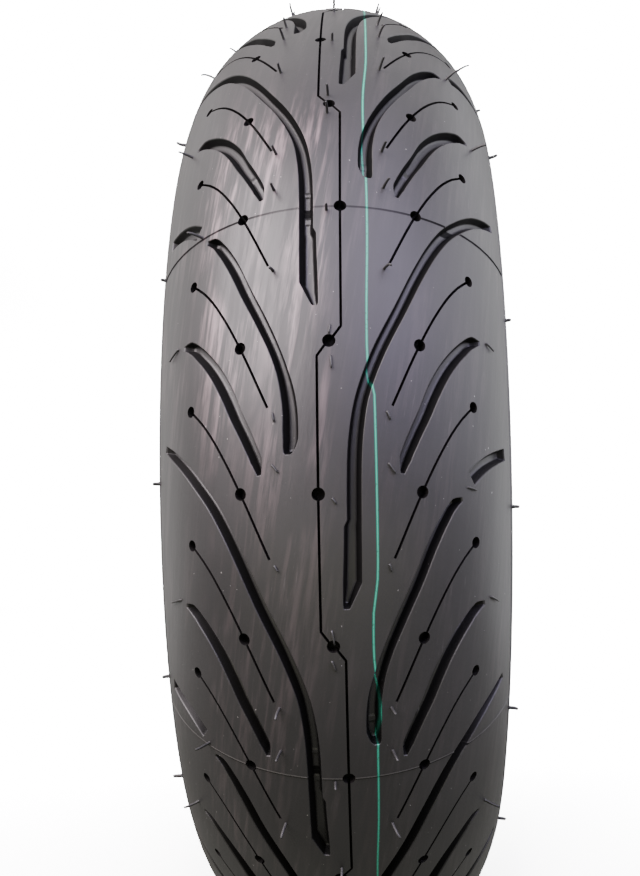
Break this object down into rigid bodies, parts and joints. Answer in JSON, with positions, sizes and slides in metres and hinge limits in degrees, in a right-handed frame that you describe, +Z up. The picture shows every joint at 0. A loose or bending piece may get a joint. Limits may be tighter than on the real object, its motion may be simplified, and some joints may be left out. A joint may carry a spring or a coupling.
{
  "type": "motorcycle tyre",
  "caption": "Wide radial rear motorcycle tyre: round tread with sweeping directional grooves and a row of side sipes, built up from tread, belts, carcass, sidewalls and beads; no rim.",
  "frame": {"origin": "wheel centre: on the axle line, midway between the two beads", "axes": "+Y along the axle, +Z up, +X across the tyre's front as it stands on its tread"},
  "size_m": [0.63, 0.1796, 0.63],
  "materials": {
    "tread_rubber": "satin, moulded",
    "shoulder_rubber": "satin, moulded, with faint release marks",
    "sidewall_rubber": "satin, moulded",
    "chafer_rubber": "matt, fabric-faced",
    "liner_rubber": "smooth satin",
    "base_rubber": "matt",
    "carcass_cord": "rubbered textile cord, matt",
    "belt_cord": "rubbered aramid cord, matt",
    "bead_wire": "bronze-plated wire"
  },
  "bodies": {
    "root": {"tread_centre": "tread_rubber", "tread_shoulder_right": "shoulder_rubber", "tread_shoulder_left": "shoulder_rubber", "tread_base": "base_rubber", "wound_belt": "belt_cord", "belt_edge_strip_right": "base_rubber", "belt_edge_strip_left": "base_rubber", "breaker_ply": "belt_cord", "carcass_ply": "carcass_cord", "inner_liner": "liner_rubber", "sidewall_right": "sidewall_rubber", "sidewall_left": "sidewall_rubber", "chafer_right": "chafer_rubber", "chafer_left": "chafer_rubber", "bead_filler_right": "base_rubber", "bead_filler_left": "base_rubber", "flipper_right": "carcass_cord", "flipper_left": "carcass_cord", "bead_core_right": "bead_wire", "bead_core_left": "bead_wire"}
  },
  "joints": []
}
